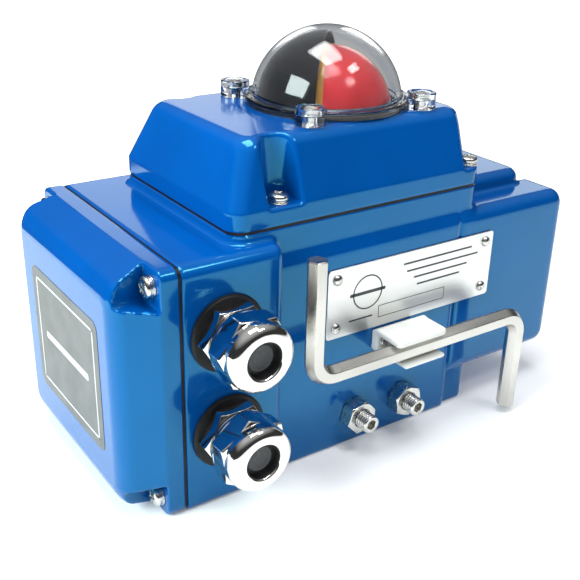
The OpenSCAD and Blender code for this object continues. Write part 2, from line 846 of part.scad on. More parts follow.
module limit_switches() {
    color("black") for (z = [106.6, 113.6]) {
        box([-40.5, -10, z], [-24.5, 10, z + 6.4]);
        rod_x([-25, 3, z + 3.2], 1.2, 0.8);
    }
}

module switch_lever(z) {
    box([-23, -9.5, z + 1.2], [-22.6, 6, z + 5.2]);
    rod_z([-23, -9, z + 0.8], 1, 4.8);
    box([-22.7, 2, z + 1.2], [-20.2, 4, z + 5.2]);
    rod_z([-19.7, 3, z + 1.2], 2.3, 4);
}

module switch_lever_low() { color("silver") switch_lever(106.6); }
module switch_lever_high() { color("silver") switch_lever(113.6); }

module terminal_block() {
    color("black") difference() {
        union() {
            box([-72, -20, 28], [-60.1, 44, 58]);
            for (i = [0 : 8]) box([-78, -20 + i * 7.9, 32], [-71, -18.8 + i * 7.9, 54]);
        }
        for (i = [0 : 7], z = [36, 50]) rod_x([-73, -15.5 + i * 7.9, z], 1.6, 9);
    }
}

module terminal_screws() {
    color("silver") for (i = [0 : 7], z = [36, 50]) translate([-72, -15.5 + i * 7.9, z]) rotate([0, -90, 0])
        pan_screw(2.8, 1.8, 1.5, 7);
}

module earth_screw() {
    color("seagreen") translate([-60, 45, 20]) rotate([0, -90, 0]) pan_screw(3.8, 2.6, 2, 2.8);
}

module capacitor() {
    color("lightgray") {
        rod_y([-34, -16, 72], 14, 38);
        rod_y([-34, 22, 72], 12, 4);
    }
}

module capacitor_clamp() {
    color("silver") difference() {
        union() {
            rod_y([-34, -2, 72], 15.4, 8);
            box([-56, -2, 64], [-46, 6, 80]);
        }
        rod_y([-34, -3, 72], 14.05, 10);
    }
}

// ---- drawing -------------------------------------------------------------------------

main_body();
terminal_cover();
terminal_gasket();
terminal_cover_screws();
top_cover();
top_gasket();
top_cover_screws();
dome();
dome_seal();
dome_screws();
indicator_mask();
indicator_red();
indicator_yellow();
indicator_hub();
nameplate();
nameplate_rivets();
gland_washers();
gland_bodies();
gland_locknuts();
gland_inserts();
gland_blanks();
gland_cap_upper();
gland_cap_lower();
wrench_clip();
clip_screw();
hand_wrench();
stop_nuts();
stop_screw_left();
stop_screw_right();
stop_cam();
lower_bush();
upper_bush();
gear_plate();
plate_screws();
output_shaft();
wheel_key();
worm_wheel();
worm_shaft();
worm_gear();
worm_bushes();
override_seal();
idler_gear();
idler_pin();
motor_can();
motor_stator();
motor_end_plate();
motor_rotor();
motor_pinion();
switch_bracket();
limit_switches();
switch_lever_low();
switch_lever_high();
limit_cams();
terminal_block();
terminal_screws();
earth_screw();
capacitor();
capacitor_clamp();
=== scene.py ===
"""Looks of the quarter-turn valve actuator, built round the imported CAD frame.

The castings, glands, screws and dome are signed distance fields in millimetres that are
meshed on a grid and drawn onto their true surface, so that each fillet is real geometry.
"""
import json
import math

import bpy
import numpy as np
from mathutils import Matrix, Vector


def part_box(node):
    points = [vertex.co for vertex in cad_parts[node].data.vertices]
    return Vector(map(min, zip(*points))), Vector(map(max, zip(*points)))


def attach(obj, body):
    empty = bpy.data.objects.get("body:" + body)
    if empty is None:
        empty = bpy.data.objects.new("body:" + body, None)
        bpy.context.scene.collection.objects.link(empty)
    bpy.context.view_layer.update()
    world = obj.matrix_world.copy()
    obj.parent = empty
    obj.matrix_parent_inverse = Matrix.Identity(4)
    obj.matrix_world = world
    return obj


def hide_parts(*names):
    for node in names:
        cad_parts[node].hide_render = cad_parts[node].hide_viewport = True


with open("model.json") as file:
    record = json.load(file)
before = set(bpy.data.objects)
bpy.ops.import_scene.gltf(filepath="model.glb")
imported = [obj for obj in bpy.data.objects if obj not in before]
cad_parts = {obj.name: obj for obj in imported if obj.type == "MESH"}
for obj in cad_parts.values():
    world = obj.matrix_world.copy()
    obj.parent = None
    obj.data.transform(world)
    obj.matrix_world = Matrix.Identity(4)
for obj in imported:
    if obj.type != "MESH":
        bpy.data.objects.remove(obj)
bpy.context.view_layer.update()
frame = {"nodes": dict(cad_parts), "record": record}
MM = 0.001
housing = "housing"


def mm_box(node):
    """Lowest and highest corner of a CAD node in millimetres."""
    lo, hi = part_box(node)
    return np.array(lo) / MM, np.array(hi) / MM


# ---- distance fields -----------------------------------------------------------------

def length(*parts):
    return np.sqrt(sum(p * p for p in parts))


def rect(u, v, u0, u1, v0, v1, r):
    """Rectangle with round corners in the plane of u and v."""
    qu = np.abs(u - (u0 + u1) / 2) - (u1 - u0) / 2 + r
    qv = np.abs(v - (v0 + v1) / 2) - (v1 - v0) / 2 + r
    return length(np.maximum(qu, 0), np.maximum(qv, 0)) + np.minimum(np.maximum(qu, qv), 0) - r


def span(t, t0, t1):
    return np.abs(t - (t0 + t1) / 2) - (t1 - t0) / 2


def meet(a, b, r=0.0):
    """Common part of a and b, its edge rounded to radius r."""
    if r == 0:
        return np.maximum(a, b)
    return np.minimum(np.maximum(a, b), -r) + length(np.maximum(a + r, 0), np.maximum(b + r, 0))


def join(a, b, r=0.0):
    """a and b together, with a fillet of radius r between them."""
    if r == 0:
        return np.minimum(a, b)
    return np.maximum(np.minimum(a, b), r) - length(np.maximum(r - a, 0), np.maximum(r - b, 0))


def cut(a, b, r=0.0):
    return meet(a, -b, r)


def hexagon(u, v, af, r=0.0, turn=0.0):
    """Hexagon of that width across flats, its corners rounded to radius r."""
    c, s = math.cos(turn), math.sin(turn)
    u, v = np.abs(c * u + s * v), np.abs(c * v - s * u)
    k = math.sqrt(3) / 2
    half = af / 2 - r
    dot = np.minimum(-k * u + 0.5 * v, 0) * 2
    u, v = u + k * dot, v - 0.5 * dot
    side = half / math.sqrt(3)
    du, dv = u - np.clip(u, -side, side), v - half
    return length(du, dv) * np.sign(dv) - r


# ---- from field to mesh --------------------------------------------------------------

CORNERS = [(i, j, k) for i in (0, 1) for j in (0, 1) for k in (0, 1)]
EDGES = [(a, b) for a in range(8) for b in range(a + 1, 8)
         if sum(x != y for x, y in zip(CORNERS[a], CORNERS[b])) == 1]


def gradient(field, p, eps=0.02):
    g = np.empty_like(p)
    for k in range(3):
        step = np.zeros(3)
        step[k] = eps
        hi, lo = (p + step).T, (p - step).T
        g[:, k] = (field(*hi) - field(*lo)) / (2 * eps)
    return g


def field_mesh(field, lo, hi, step):
    """Vertices, quads and outward normals of the surface where field is 0."""
    axes = [np.arange(a - 1.5 * step, b + 2.5 * step, step) for a, b in zip(lo, hi)]
    x, y, z = axes[0][:, None, None], axes[1][None, :, None], axes[2][None, None, :]
    v = np.broadcast_to(field(x, y, z), [len(a) for a in axes]).astype(np.float32)
    inside = v < 0
    n = [len(a) - 1 for a in axes]
    count = sum(inside[i:i + n[0], j:j + n[1], k:k + n[2]].astype(np.int8) for i, j, k in CORNERS)
    cells = np.argwhere((count > 0) & (count < 8))
    number = np.full(n, -1, np.int64)
    number[tuple(cells.T)] = np.arange(len(cells))
    at = np.stack([v[cells[:, 0] + i, cells[:, 1] + j, cells[:, 2] + k] for i, j, k in CORNERS], 1)
    total, hits = np.zeros((len(cells), 3)), np.zeros(len(cells))
    for a, b in EDGES:
        va, vb = at[:, a], at[:, b]
        crosses = (va < 0) != (vb < 0)
        t = np.where(crosses, va / np.where(crosses, va - vb, 1), 0)[:, None]
        ca, cb = np.array(CORNERS[a], float), np.array(CORNERS[b], float)
        total += np.where(crosses[:, None], ca + (cb - ca) * t, 0)
        hits += crosses
    p = np.stack([axes[k][cells[:, k]] for k in range(3)], 1) + total / hits[:, None] * step
    for _ in range(4):
        g = gradient(field, p)
        move = (field(*p.T) / np.maximum((g * g).sum(1), 0.05))[:, None] * g
        p -= np.clip(move, -step / 2, step / 2)
    quads = []
    for axis in range(3):
        a, b = [k for k in range(3) if k != axis]
        lower = [slice(None)] * 3
        upper = [slice(None)] * 3
        lower[axis], upper[axis] = slice(None, -1), slice(1, None)
        change = inside[tuple(lower)] != inside[tuple(upper)]
        e = np.argwhere(change)
        e = e[(e[:, a] > 0) & (e[:, b] > 0)]
        out = inside[tuple(lower)][tuple(e.T)]
        ring = []
        for da, db in ((0, 0), (1, 0), (1, 1), (0, 1)):
            c = e.copy()
            c[:, a] -= da
            c[:, b] -= db
            ring.append(number[tuple(c.T)])
        q = np.stack(ring, 1)
        flip = out if axis == 1 else ~out
        q[flip] = q[flip][:, ::-1]
        quads.append(q)
    normals = gradient(field, p)
    normals /= np.maximum(np.linalg.norm(normals, axis=1), 1e-9)[:, None]
    return p, np.concatenate(quads), normals


def new_mesh(name, points, quads, normals=None):
    me = bpy.data.meshes.new(name)
    points, quads = np.asarray(points, float), np.asarray(quads)
    me.vertices.add(len(points))
    me.vertices.foreach_set("co", (points * MM).astype(np.float32).ravel())
    me.loops.add(quads.size)
    me.loops.foreach_set("vertex_index", quads.astype(np.int32).ravel())
    me.polygons.add(len(quads))
    me.polygons.foreach_set("loop_start", np.arange(0, quads.size, quads.shape[1], dtype=np.int32))
    me.update(calc_edges=True)
    me.shade_smooth()
    if normals is not None:
        me.normals_split_custom_set_from_vertices(normals)
    return me


def show(name, me, material, body=housing, nodes=()):
    """A new piece on a body, which stands for those CAD nodes."""
    o = bpy.data.objects.new(name, me)
    bpy.context.scene.collection.objects.link(o)
    o.data.materials.clear()
    o.data.materials.append(MATERIALS[material])
    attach(o, body)
    if nodes:
        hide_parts(*nodes)
    return o


def many(data, places):
    """One vertex, quad and normal set copied to each (3x3 turn, shift)."""
    p, q, n = data
    ps, qs, ns = [], [], []
    for k, (turn, shift) in enumerate(places):
        turn = np.asarray(turn, float)
        ps.append(p @ turn.T + np.asarray(shift, float))
        ns.append(n @ turn.T)
        qs.append(q + k * len(p))
    return np.concatenate(ps), np.concatenate(qs), np.concatenate(ns)


def turn_z(deg):
    c, s = math.cos(math.radians(deg)), math.sin(math.radians(deg))
    return np.array([[c, -s, 0], [s, c, 0], [0, 0, 1.0]])


# +Z of a part turned to -Y, -X
TO_FRONT = np.array([[1, 0, 0], [0, 0, -1], [0, 1, 0.0]])
TO_LEFT = np.array([[0, 0, -1], [0, 1, 0], [1, 0, 0.0]])


# ---- materials -----------------------------------------------------------------------

MATERIALS = {}


def nodes_of(name):
    m = bpy.data.materials.new(name)
    m.use_nodes = True
    nt = m.node_tree
    MATERIALS[name] = m
    return m, nt, nt.nodes["Principled BSDF"]


def noise(nt, scale, detail=3.0, stretch=None, rough=0.5):
    """A noise in object space, stretched along an axis if asked."""
    co = nt.nodes.new("ShaderNodeTexCoord")
    mp = nt.nodes.new("ShaderNodeMapping")
    if stretch:
        mp.inputs["Scale"].default_value = stretch
    t = nt.nodes.new("ShaderNodeTexNoise")
    t.inputs["Scale"].default_value = scale
    t.inputs["Detail"].default_value = detail
    t.inputs["Roughness"].default_value = rough
    nt.links.new(co.outputs["Object"], mp.inputs["Vector"])
    nt.links.new(mp.outputs["Vector"], t.inputs["Vector"])
    return t.outputs["Fac"]


def ramp(nt, value, stops):
    r = nt.nodes.new("ShaderNodeValToRGB")
    while len(r.color_ramp.elements) < len(stops):
        r.color_ramp.elements.new(0.5)
    for e, (pos, col) in zip(r.color_ramp.elements, stops):
        e.position = pos
        e.color = (*col, 1) if len(col) == 3 else col
    nt.links.new(value, r.inputs["Fac"])
    return r.outputs["Color"]


def spread(nt, value, lo, hi):
    m = nt.nodes.new("ShaderNodeMapRange")
    m.inputs["From Min"].default_value = 0.3
    m.inputs["From Max"].default_value = 0.7
    m.inputs["To Min"].default_value = lo
    m.inputs["To Max"].default_value = hi
    nt.links.new(value, m.inputs["Value"])
    return m.outputs["Result"]


def mix(nt, fac, a, b):
    m = nt.nodes.new("ShaderNodeMix")
    m.data_type = "RGBA"
    nt.links.new(fac, m.inputs["Factor"])
    for sock, val in ((m.inputs[6], a), (m.inputs[7], b)):
        if isinstance(val, tuple):
            sock.default_value = (*val, 1)
        else:
            nt.links.new(val, sock)
    return m.outputs[2]


def edge_mask(nt, lo, hi):
    """White on sharp outer edges."""
    g = nt.nodes.new("ShaderNodeNewGeometry")
    m = nt.nodes.new("ShaderNodeMapRange")
    m.inputs["From Min"].default_value = lo
    m.inputs["From Max"].default_value = hi
    nt.links.new(g.outputs["Pointiness"], m.inputs["Value"])
    return m.outputs["Result"]


def bump(nt, shader, height, strength, distance):
    b = nt.nodes.new("ShaderNodeBump")
    b.inputs["Strength"].default_value = strength
    b.inputs["Distance"].default_value = distance
    nt.links.new(height, b.inputs["Height"])
    nt.links.new(b.outputs["Normal"], shader.inputs["Normal"])
    if shader.inputs["Coat Weight"].default_value > 0:
        nt.links.new(b.outputs["Normal"], shader.inputs["Coat Normal"])


def surface(name, dark, light, rough=(0.3, 0.4), metallic=0.0, scale=60.0, bump_scale=900.0,
            bump_strength=0.1, bump_mm=0.02, stretch=None, edge_wear_and_highlight=None, **sockets):
    """A material whose colour, roughness and relief all vary."""
    m, nt, s = nodes_of(name)
    for k, v in sockets.items():
        s.inputs[k.replace("_", " ")].default_value = v
    s.inputs["Metallic"].default_value = metallic
    field = noise(nt, scale, 4.0, stretch)
    colour = ramp(nt, field, [(0.3, dark), (0.7, light)])
    # Lighter colour on sharp outer edges: real wear on the steels, a painted highlight on the blue enamel.
    if edge_wear_and_highlight:
        colour = mix(nt, edge_mask(nt, *edge_wear_and_highlight[0]), colour, edge_wear_and_highlight[1])
    nt.links.new(colour, s.inputs["Base Color"])
    nt.links.new(spread(nt, noise(nt, scale * 2.3, 3.0, stretch), *rough), s.inputs["Roughness"])
    bump(nt, s, noise(nt, bump_scale, 2.0, stretch), bump_strength, bump_mm * MM)
    return m


# The lighter, brighter blue on the enamel's sharp outer edges is a painted highlight, not wear.
surface("blue_enamel", (0.0, 0.06, 0.268), (0.0, 0.07, 0.315), (0.09, 0.14), scale=26,
        bump_scale=160, bump_strength=0.14, bump_mm=0.05, edge_wear_and_highlight=((0.56, 0.64), (0.002, 0.16, 0.62)),
        Specular_IOR_Level=0.8, Specular_Tint=(0.15, 0.95, 1.0, 1.0), Coat_Weight=0.1,
        Coat_Roughness=0.03, Coat_IOR=1.5)
surface("gasket_rubber", (0.005, 0.005, 0.006), (0.013, 0.013, 0.015), (0.4, 0.55), scale=120,
        bump_scale=1500, bump_strength=0.25, Specular_IOR_Level=0.25)
surface("stainless", (0.56, 0.55, 0.52), (0.72, 0.71, 0.68), (0.16, 0.3), metallic=1.0, scale=220,
        bump_scale=1500, bump_strength=0.06, edge_wear_and_highlight=((0.53, 0.6), (0.85, 0.84, 0.81)))
surface("wrench_steel", (0.5, 0.485, 0.455), (0.66, 0.64, 0.6), (0.24, 0.38), metallic=1.0, scale=90,
        bump_scale=700, bump_strength=0.12, stretch=(0.25, 1, 0.25),
        edge_wear_and_highlight=((0.52, 0.58), (0.85, 0.83, 0.78)))
surface("nickel_plate", (0.74, 0.71, 0.67), (0.86, 0.84, 0.8), (0.05, 0.11), metallic=1.0, scale=70,
        bump_scale=260, bump_strength=0.05, bump_mm=0.04)
surface("blank_plastic", (0.006, 0.009, 0.012), (0.016, 0.02, 0.024), (0.25, 0.4), scale=300,
        bump_scale=1600, bump_strength=0.2)
surface("label_steel", (0.66, 0.66, 0.65), (0.8, 0.8, 0.79), (0.26, 0.4), metallic=1.0, scale=60,
        bump_scale=500, bump_strength=0.1, bump_mm=0.01, stretch=(0.03, 1, 1))
surface("white_plastic", (0.74, 0.74, 0.71), (0.84, 0.84, 0.82), (0.32, 0.45), scale=80,
        bump_scale=900, bump_strength=0.12, Subsurface_Weight=0.15,
        Subsurface_Radius=(0.002, 0.0015, 0.001))
surface("indicator_black", (0.003, 0.003, 0.004), (0.008, 0.008, 0.01), (0.08, 0.14), scale=60,
        bump_scale=240, bump_strength=0.03, Specular_IOR_Level=0.3)
surface("indicator_red", (0.66, 0.02, 0.026), (0.8, 0.04, 0.05), (0.1, 0.18), scale=60,
        bump_scale=300, bump_strength=0.06)
surface("indicator_yellow", (0.62, 0.3, 0.04), (0.74, 0.38, 0.06), (0.18, 0.28), scale=60,
        bump_scale=300, bump_strength=0.06)
surface("grey_plastic", (0.2, 0.2, 0.21), (0.28, 0.28, 0.29), (0.4, 0.55), scale=90)
surface("black_plastic", (0.02, 0.02, 0.022), (0.045, 0.045, 0.05), (0.4, 0.55), scale=90)
surface("cam_plastic", (0.7, 0.67, 0.58), (0.8, 0.78, 0.7), (0.35, 0.5), scale=90)
surface("machined_steel", (0.36, 0.36, 0.37), (0.5, 0.5, 0.51), (0.25, 0.4), metallic=1.0, scale=120,
        stretch=(1, 1, 4))
surface("gear_steel", (0.42, 0.42, 0.42), (0.58, 0.58, 0.58), (0.3, 0.45), metallic=1.0, scale=200)
surface("bronze", (0.5, 0.31, 0.12), (0.66, 0.44, 0.2), (0.25, 0.4), metallic=1.0, scale=120)
surface("zinc_sheet", (0.5, 0.51, 0.53), (0.68, 0.69, 0.7), (0.28, 0.42), metallic=1.0, scale=50)
surface("motor_grey", (0.18, 0.19, 0.2), (0.26, 0.27, 0.29), (0.35, 0.5), scale=60)
surface("copper_core", (0.42, 0.19, 0.08), (0.6, 0.3, 0.14), (0.35, 0.5), metallic=1.0, scale=200)
surface("capacitor_case", (0.66, 0.66, 0.62), (0.78, 0.78, 0.75), (0.35, 0.5), scale=60)
surface("earth_green", (0.2, 0.32, 0.1), (0.34, 0.48, 0.2), (0.3, 0.45), metallic=1.0, scale=200)
surface("print_dark", (0.02, 0.025, 0.03), (0.05, 0.055, 0.06), (0.4, 0.55), scale=200)
surface("decal_grey", (0.1, 0.105, 0.105), (0.135, 0.14, 0.14), (0.3, 0.42), scale=40,
        bump_scale=500, bump_strength=0.05, Specular_IOR_Level=0.2)

_, clear_nt, clear_s = nodes_of("clear_dome")
clear_s.inputs["Transmission Weight"].default_value = 1.0
clear_s.inputs["IOR"].default_value = 1.46
clear_nt.links.new(spread(clear_nt, noise(clear_nt, 40, 3), 0.0, 0.035), clear_s.inputs["Roughness"])
clear_tint = ramp(clear_nt, noise(clear_nt, 18, 2),
                  [(0.3, (0.95, 0.97, 0.985)), (0.7, (0.99, 0.995, 1.0))])
clear_nt.links.new(clear_tint, clear_s.inputs["Base Color"])
bump(clear_nt, clear_s, noise(clear_nt, 30, 2), 0.03, 0.05 * MM)

for m in frame["record"]["materials"]:
    if m["slot"] not in MATERIALS:
        raise RuntimeError("no material for " + m["slot"])
slot_of = {s["node"]: s["material_slot"] for s in frame["record"]["subparts"]}
for node, obj in frame["nodes"].items():
    obj.data.materials.clear()
    obj.data.materials.append(MATERIALS[slot_of[node]])


# ---- places read from the frame -------------------------------------------------------

body_lo, body_hi = mm_box("main_body")
plate_lo, plate_hi = mm_box("nameplate")
lid_lo, lid_hi = mm_box("top_cover")
gasket_lo, _ = mm_box("top_gasket")
end_lo, end_hi = mm_box("terminal_cover")
_, end_gasket_hi = mm_box("terminal_gasket")
ts_lo, ts_hi = mm_box("terminal_cover_screws")
ls_lo, ls_hi = mm_box("top_cover_screws")
_, dome_hi = mm_box("dome")
wrench_lo, wrench_hi = mm_box("hand_wrench")
clip_lo, clip_hi = mm_box("wrench_clip")
cap_up_lo, cap_up_hi = mm_box("gland_cap_upper")
cap_dn_lo, cap_dn_hi = mm_box("gland_cap_lower")
nuts_lo, nuts_hi = mm_box("stop_nuts")
worm_lo, worm_hi = mm_box("worm_shaft")

joint_x = end_gasket_hi[0]
wall_y = plate_hi[1]
seat_z = gasket_lo[2]
gland_x = (cap_up_lo[0] + cap_up_hi[0]) / 2
gland_zs = [(cap_dn_lo[2] + cap_dn_hi[2]) / 2, (cap_up_lo[2] + cap_up_hi[2]) / 2]
worm_y = (worm_lo[1] + worm_hi[1]) / 2
worm_z = (worm_lo[2] + worm_hi[2]) / 2

BLOCK_X1, BLOCK_Z = -52.5, 100.5
LEDGE_Z = 93.5
BASE_X1 = 53.5
CASE_X0, CASE_Z0, CASE_Y1 = 41.0, 16.0, -22.0
MOTOR = (40.0, 93.5, -28.0, 50.0)
WALL = 3.5
HEAD_R, TAPPED_R, CLEARANCE_R = 4.2, 2.1, 2.6
GLAND_HOLE_R = 10.1
# Circle, radius and depth of the ISO 5211 holes in the foot
F07_HOLES, F05_HOLES = (35, 4, 14), (25, 3, 8.5)


# ---- castings ------------------------------------------------------------------------

def body_field(x, y, z):
    y0, y1, x1 = body_lo[1], body_hi[1], body_hi[0]
    top_r = np.where(z > 50, 5.0, 2.5)
    block = rect(y, z, y0, y1, 0, BLOCK_Z, top_r)
    block = meet(meet(block, joint_x - x, 0.5), x - BLOCK_X1, 3.0)
    wall = rect(x, y, joint_x + 10, CASE_X0, wall_y, y1, 3.0)
    wall = meet(meet(wall, z - LEDGE_Z, 6.0), -z, 1.5)
    foot = rect(x, y, joint_x + 10, BASE_X1, wall_y + 2, y1, 3.0)
    foot = meet(meet(foot, z - LEDGE_Z, 6.0), -z, 1.5)
    seat = rect(x, y, lid_lo[0], lid_hi[0], lid_lo[1], lid_hi[1], 7.0)
    seat = meet(meet(seat, z - seat_z, 0.5), 60 - z, 0.5)
    case = rect(x, z, CASE_X0 - 30, x1, CASE_Z0, LEDGE_Z, 7.0)
    case = meet(meet(case, wall_y - y, 6.0), y - CASE_Y1, 3.0)
    case = meet(case, CASE_X0 - x, 1.0)
    motor = rect(x, y, *MOTOR, 7.0)
    motor = meet(meet(motor, z - BLOCK_Z, 5.0), CASE_Z0 - z, 3.0)
    port = meet(length(y - worm_y, z - worm_z) - 11, span(x, MOTOR[1] - 4, x1), 1.0)
    d = np.minimum(wall, foot)
    d = np.minimum(d, case)
    d = join(d, block, 1.5)
    d = join(d, motor, 2.5)
    d = join(d, seat, 2.5)
    return join(d, port, 2.0)


def end_field(x, y, z):
    """Terminal cover without its joint face."""
    rim_x = END_RIM
    t = np.clip((rim_x - x) / (rim_x - end_lo[0]), 0, 1.3)
    d = rect(y, z, end_lo[1] + END_LEAN_FRONT * t, end_hi[1] - END_LEAN_BACK * t,
             end_lo[2] + END_LEAN_FRONT * t, end_hi[2] - END_LEAN_TOP * t, 4 + 4 * t)
    d = d * np.where(t > 0, 0.9, 1.0)
    d = meet(d, end_lo[0] - x, 5.0)
    mid_y, mid_z = (end_lo[1] + end_hi[1]) / 2, (end_lo[2] + end_hi[2]) / 2
    u, v = np.abs(y - mid_y), np.abs(z - mid_z)
    pocket = meet(END_FACE[0] + 4.5 * t - u, END_FACE[1] + 2.2 * t - v, 2.5)
    pocket = meet(pocket, x - rim_x, 0.9)
    return cut(d, pocket, 0.8)


END_RIM = end_hi[0] - 7.0
END_LEAN_BACK, END_LEAN_FRONT, END_LEAN_TOP = 10, 7, 6
END_FACE = (41.0, 35.65)
LID_RIM = 112.0
LID_LEAN_LEFT, LID_LEAN_RIGHT, LID_LEAN = 9.5, 7.5, 9


def lid_field(x, y, z):
    """Top cover without its joint face."""
    t = np.clip((z - LID_RIM) / (lid_hi[2] - LID_RIM), 0, 1.3)
    d = rect(x, y, lid_lo[0] + LID_LEAN_LEFT * t, lid_hi[0] - LID_LEAN_RIGHT * t,
             lid_lo[1] + LID_LEAN * t, lid_hi[1] - LID_LEAN * t, 7.0)
    d = d * np.where(t > 0, 0.94, 1.0)
    d = meet(d, z - lid_hi[2], 4.0)
    for sx, sy in lid_screws:
        front = -1 if sy < 0 else 1
        if sx < 0:
            hole = rect(x, y * front, sx - 7.2, sx + 7.2, sy * front - 7.2, sy * front + 30, 7.0)
        else:
            hole = rect(x, y * front, sx - 6.5, sx + 40, sy * front - 5.5, sy * front + 40, 4.0)
        d = cut(d, meet(hole, LID_RIM - z, 0.8), 1.4)
    return d


def centres(lo, hi, head):
    """Centres of the four screws whose heads, of radius head, fill the corners of a box."""
    return [(a, b) for a in (lo[0] + head, hi[0] - head) for b in (lo[1] + head, hi[1] - head)]


lid_screws = centres(ls_lo[:2], ls_hi[:2], HEAD_R)
end_screws = centres(ts_lo[1:], ts_hi[1:], HEAD_R)


def shell(field, wall, clip):
    """A hollow casting: field clipped by the joint face, with walls that thick."""
    def f(x, y, z):
        d = field(x, y, z)
        return cut(meet(d, clip(x, y, z), 0.4), d + wall, 0.3)
    return f


def box_mesh(boxes, rods=()):
    """Plain solids as one cutter: boxes (lo, hi) and rods (start, axis, radius, length)."""
    ps, fs = [], []
    for lo, hi in boxes:
        n = sum(len(p) for p in ps)
        ps.append(np.array([[(lo, hi)[i][0], (lo, hi)[j][1], (lo, hi)[k][2]] for i, j, k in CORNERS]))
        fs += [[n + v for v in f] for f in
               ((0, 1, 3, 2), (4, 6, 7, 5), (0, 4, 5, 1), (2, 3, 7, 6), (0, 2, 6, 4), (1, 5, 7, 3))]
    for start, axis, r, span_ in rods:
        n = sum(len(p) for p in ps)
        k = max(24, int(r * 5))
        a = np.arange(k) * 2 * math.pi / k
        i = "xyz".index(axis)
        ring = np.zeros((k, 3))
        ring[:, (i + 1) % 3], ring[:, (i + 2) % 3] = r * np.cos(a), r * np.sin(a)
        top = ring.copy()
        top[:, i] = span_
        ps += [ring + start, top + start]
        fs += [[n + j, n + (j + 1) % k, n + k + (j + 1) % k, n + k + j] for j in range(k)]
        fs += [[n + j for j in reversed(range(k))], [n + k + j for j in range(k)]]
    me = bpy.data.meshes.new("cutter")
    me.from_pydata([tuple(p) for p in np.concatenate(ps) * MM], [], fs)
    return me


def carve(me, cutters):
    """me less each cutter."""
    o = bpy.data.objects.new("carved", me)
    bpy.context.scene.collection.objects.link(o)
    made = []
    for c in cutters:
        k = bpy.data.objects.new("cutter", c)
        bpy.context.scene.collection.objects.link(k)
        b = o.modifiers.new("cut", "BOOLEAN")
        b.operation, b.object, b.solver = "DIFFERENCE", k, "MANIFOLD"
        made.append(k)
    dg = bpy.context.evaluated_depsgraph_get()
    out = bpy.data.meshes.new_from_object(o.evaluated_get(dg))
    for k in [o, *made]:
        bpy.data.objects.remove(k)
    out.shade_smooth()
    out.set_sharp_from_angle(angle=math.radians(32))
    return out


def body_cutters():
    y1 = body_hi[1] - WALL
    boxes = [
        ((joint_x - 1, body_lo[1] + 4, 4), (-60, y1, BLOCK_Z - 4)),
        ((-56, wall_y + WALL, 20), (44, y1, 90)),
        ((-52, -39, 89), (44, 43, 97)),
        ((-42, -38, 96), (42, 42, seat_z + 1)),
        ((43, -20, 20), (90, MOTOR[3] - WALL, 97)),
        ((50, wall_y + WALL, 20), (body_hi[0] - WALL, CASE_Y1 - WALL, LEDGE_Z - WALL)),
        ((76, CASE_Y1 - 4.5, 25), (90, -19, 85)),
    ]
    rods = [((0, 0, 9), "z", 29, 12), ((-61, 20, 70), "x", 6, 6)]
    rods += [((joint_x - 1, a, b), "x", TAPPED_R, 16) for a, b in end_screws]
    rods += [((a, b, seat_z - 14), "z", TAPPED_R, 15) for a, b in lid_screws]
    rods += [((gland_x, body_lo[1] - 1, z), "y", GLAND_HOLE_R, 6) for z in gland_zs]
    rods += [((x, wall_y - 1, STOP_Z), "y", 4.05, 30) for x in (-STOP_X, STOP_X)]
    rods += [((49, worm_y, worm_z), "x", 7.2, body_hi[0] - 50)]
    rods += [((body_hi[0] - WALL, worm_y, worm_z), "x", 8.3, 5)]
    rods += [((0, 0, -1), "z", 17.5, 4), ((0, 0, 2), "z", 16.1, 8)]
    for k in range(4):
        a = math.radians(45 + 90 * k)
        rods += [((circle * math.cos(a), circle * math.sin(a), -1), "z", r, depth)
                 for circle, r, depth in (F07_HOLES, F05_HOLES)]
    return [box_mesh([b]) for b in boxes] + [box_mesh([], [r]) for r in rods]


STOP_NUT_CORNER = 7.5
STOP_X = nuts_hi[0] - STOP_NUT_CORNER
STOP_Z = (nuts_lo[2] + nuts_hi[2]) / 2

BODY_STEP, COVER_STEP = ((0.85, 0.7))

p, q, n = field_mesh(body_field, body_lo, body_hi, BODY_STEP)
show("body_casting", carve(new_mesh("body_casting", p, q), body_cutters()), "blue_enamel",
     nodes=("main_body",))

lid_shell = shell(lid_field, WALL, lambda x, y, z: lid_lo[2] - z)
data = field_mesh(lid_shell, lid_lo, lid_hi, COVER_STEP)
lid_cuts = [box_mesh([], [((a, b, lid_lo[2] - 1), "z", CLEARANCE_R, 9)]) for a, b in lid_screws]
lid_cuts.append(box_mesh([], [((0, 0, lid_hi[2] - 6), "z", 12, 8)]))
show("top_cover_casting", carve(new_mesh("top_cover_casting", *data[:2]), lid_cuts), "blue_enamel",
     nodes=("top_cover",))

end_shell = shell(end_field, WALL, lambda x, y, z: x - end_hi[0])
data = field_mesh(end_shell, end_lo, end_hi, COVER_STEP)
end_cuts = [box_mesh([], [((END_RIM - 2, a, b), "x", CLEARANCE_R, 10)]) for a, b in end_screws]
show("terminal_cover_casting", carve(new_mesh("terminal_cover_casting", *data[:2]), end_cuts),
     "blue_enamel", nodes=("terminal_cover",))


# ---- turned and swept shapes -----------------------------------------------------------

def turned(profile, a0=0.0, a1=360.0, steps=96):
    """A closed outline of (radius, height) swept round Z, capped if it isn't a full turn."""
    full = a1 - a0 >= 360
    count = steps if full else steps + 1
    angles = np.radians(a0 + (a1 - a0) * np.arange(count) / steps)
    pts = [(r * math.cos(a), r * math.sin(a), z) for a in angles for r, z in profile]
    k = len(profile)
    faces = [[i * k + j, (i + 1) % count * k + j, (i + 1) % count * k + (j + 1) % k, i * k + (j + 1) % k]
             for i in range(steps) for j in range(k)]
    if not full:
        faces += [list(range(k)), [(count - 1) * k + j for j in reversed(range(k))]]
    return pts, faces


